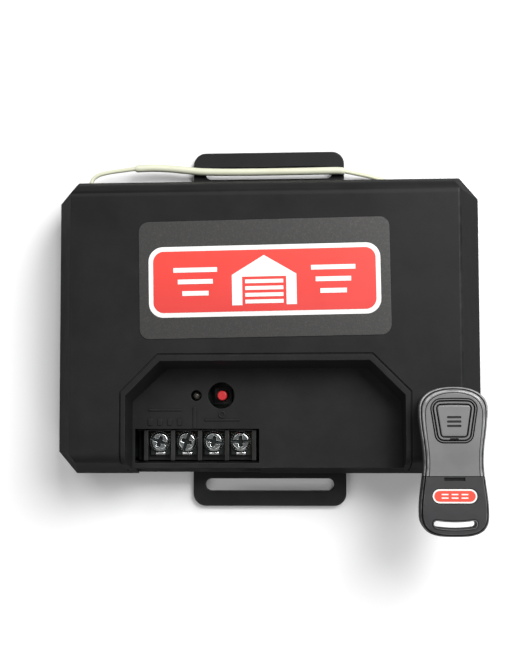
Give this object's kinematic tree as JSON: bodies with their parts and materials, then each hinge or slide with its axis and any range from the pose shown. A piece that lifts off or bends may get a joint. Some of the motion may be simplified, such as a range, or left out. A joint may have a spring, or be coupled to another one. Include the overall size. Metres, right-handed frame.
{
  "type": "garage door opener receiver with hand remote",
  "caption": "Flat black wall-mount radio receiver with a wiring bay, screw terminals, learn button and wire antenna, with its one-button grey hand remote.",
  "frame": {"origin": "centre of the mounting bracket's back face, which meets the wall or the table", "axes": "+Z out of the receiver's front face, +Y up along the wall, +X to the right seen from the front"},
  "size_m": [0.1508, 0.1363, 0.0446],
  "materials": {
    "housing_plastic": "fine moulded grain",
    "bracket_plastic": "fine moulded grain",
    "steel": "zinc plated",
    "label": "dark metallic-flake laminate",
    "badge_cream": "printed",
    "badge_red": "printed",
    "circuit": "solder mask",
    "black_part": "moulded",
    "brass": "tinned",
    "red_part": "moulded",
    "led_lens": "diffused lens",
    "relay_case": "moulded",
    "capacitor_sleeve": "shrink sleeve",
    "copper": "enamelled",
    "wire": "smooth insulation",
    "remote_plastic": "satin",
    "remote_badge": "satin",
    "plunger": "moulded"
  },
  "bodies": {
    "receiver": {"mounting_bracket": "bracket_plastic", "bracket_screws": "steel", "back_cover": "housing_plastic", "front_cover": "housing_plastic", "cover_screws": "steel", "label_plate": "label", "badge_border": "badge_cream", "badge_field": "badge_red", "badge_symbol": "badge_cream", "circuit_board": "circuit", "board_screws": "steel", "terminal_block": "black_part", "terminal_contacts": "brass", "learn_switch": "black_part", "status_led": "led_lens", "relay": "relay_case", "voltage_regulator": "black_part", "capacitors": "capacitor_sleeve", "radio_module": "steel", "microcontroller": "black_part", "crystal": "steel", "tuning_coil": "copper", "diodes": "black_part", "antenna_grommet": "black_part", "antenna_lead": "wire", "antenna_wire": "wire", "antenna_sleeve": "wire"},
    "learn_button": {"learn_button": "red_part"},
    "clamp_1": {"clamp_plate_1": "steel"},
    "screw_1": {"terminal_screw_1": "steel"},
    "clamp_2": {"clamp_plate_2": "steel"},
    "screw_2": {"terminal_screw_2": "steel"},
    "clamp_3": {"clamp_plate_3": "steel"},
    "screw_3": {"terminal_screw_3": "steel"},
    "clamp_4": {"clamp_plate_4": "steel"},
    "screw_4": {"terminal_screw_4": "steel"},
    "remote": {"remote_front_shell": "remote_plastic", "remote_back_shell": "remote_plastic", "remote_board": "circuit", "remote_switch": "black_part", "remote_led": "red_part", "remote_battery": "steel", "remote_contacts": "brass", "remote_screw": "steel"},
    "remote_button": {"remote_button": "remote_plastic"},
    "remote_plunger": {"remote_plunger": "plunger"},
    "remote_battery_cover": {"remote_battery_cover": "remote_plastic", "remote_badge": "remote_badge"}
  },
  "joints": [
    {"name": "learn_press", "type": "slide", "parent": "receiver", "child": "learn_button", "axis": [0, 0, -1], "range_m": [0, 0.00025], "stiffness_N_per_m": 500},
    {"name": "clamp_lift_1", "type": "slide", "parent": "receiver", "child": "clamp_1", "axis": [0, 0, 1], "range_m": [0, 0.0019]},
    {"name": "screw_turn_1", "type": "hinge", "parent": "clamp_1", "child": "screw_1", "pos_m": [-0.0377, -0.041, 0.0185], "axis": [0, 0, 1], "range_deg": [0, 1140]},
    {"name": "clamp_lift_2", "type": "slide", "parent": "receiver", "child": "clamp_2", "axis": [0, 0, 1], "range_m": [0, 0.0019]},
    {"name": "screw_turn_2", "type": "hinge", "parent": "clamp_2", "child": "screw_2", "pos_m": [-0.0282, -0.041, 0.0185], "axis": [0, 0, 1], "range_deg": [0, 1140]},
    {"name": "clamp_lift_3", "type": "slide", "parent": "receiver", "child": "clamp_3", "axis": [0, 0, 1], "range_m": [0, 0.0019]},
    {"name": "screw_turn_3", "type": "hinge", "parent": "clamp_3", "child": "screw_3", "pos_m": [-0.0187, -0.041, 0.0185], "axis": [0, 0, 1], "range_deg": [0, 1140]},
    {"name": "clamp_lift_4", "type": "slide", "parent": "receiver", "child": "clamp_4", "axis": [0, 0, 1], "range_m": [0, 0.0019]},
    {"name": "screw_turn_4", "type": "hinge", "parent": "clamp_4", "child": "screw_4", "pos_m": [-0.0092, -0.041, 0.0185], "axis": [0, 0, 1], "range_deg": [0, 1140]},
    {"name": "remote_lift", "type": "slide", "parent": "receiver", "child": "remote", "axis": [0, 0, 1], "range_m": [0, 0.06]},
    {"name": "remote_press", "type": "slide", "parent": "remote", "child": "remote_button", "axis": [0, 0, -1], "range_m": [0, 0.0003], "stiffness_N_per_m": 400},
    {"name": "remote_plunger_press", "type": "slide", "parent": "remote", "child": "remote_plunger", "axis": [0, 0, -1], "range_m": [0, 0.0003]},
    {"name": "battery_cover_slide", "type": "slide", "parent": "remote", "child": "remote_battery_cover", "axis": [0, -1, 0], "range_m": [0, 0.02]}
  ],
  "couplings": [
    {"joint": "screw_turn_1", "follows": "clamp_lift_1", "rad_per_m": 10472},
    {"joint": "screw_turn_2", "follows": "clamp_lift_2", "rad_per_m": 10472},
    {"joint": "screw_turn_3", "follows": "clamp_lift_3", "rad_per_m": 10472},
    {"joint": "screw_turn_4", "follows": "clamp_lift_4", "rad_per_m": 10472},
    {"joint": "remote_plunger_press", "follows": "remote_press", "ratio": 1}
  ]
}
